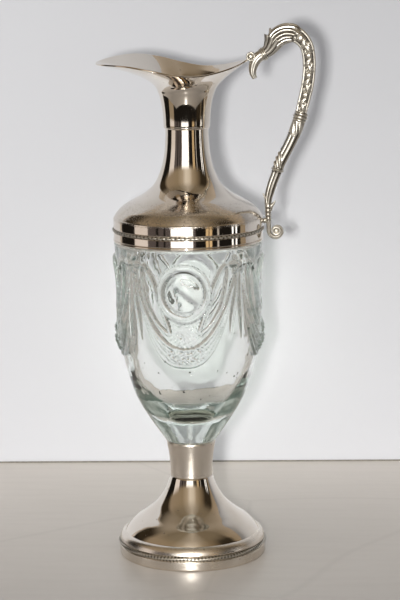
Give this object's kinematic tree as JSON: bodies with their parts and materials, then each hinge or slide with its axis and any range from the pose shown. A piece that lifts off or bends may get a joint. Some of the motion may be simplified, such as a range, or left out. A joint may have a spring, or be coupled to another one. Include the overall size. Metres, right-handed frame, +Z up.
{
  "type": "water pitcher",
  "caption": "Footed ewer with a pressed-glass body, plated metal foot, collar, neck and boat-shaped pouring mouth, and a cast scroll handle.",
  "frame": {"origin": "centre of the underside of the foot, on the body axis", "axes": "+Z up along the body axis, +X towards the handle, -X towards the spout"},
  "size_m": [0.1464, 0.1066, 0.3605],
  "materials": {
    "silver_plate": "polished silver plate, slightly warm",
    "brushed_plate": "polished plate with fine turning marks",
    "satin_plate": "satin silver plate",
    "cast_plate": "cast and plated, dark in the hollows",
    "rope_plate": "twisted plated wire",
    "clear_glass": "clear pressed glass, faint green",
    "plaster": "matt plaster",
    "felt": "felt"
  },
  "bodies": {
    "root": {"spout": "silver_plate", "neck_ring": "silver_plate", "shoulder_mount": "silver_plate", "collar_rope_band": "rope_plate", "collar_band": "silver_plate", "collar_edge_bead": "silver_plate", "collar_cement": "plaster", "glass_body": "clear_glass", "stem_cup": "satin_plate", "stem_cement": "plaster", "foot_trumpet": "silver_plate", "foot_flange": "brushed_plate", "foot_rope_band": "rope_plate", "base_pad": "felt", "handle_beak": "cast_plate", "handle_upper_collar": "cast_plate", "handle_bow": "cast_plate", "handle_middle_collar": "cast_plate", "handle_stem": "cast_plate", "handle_post": "cast_plate"}
  },
  "joints": []
}
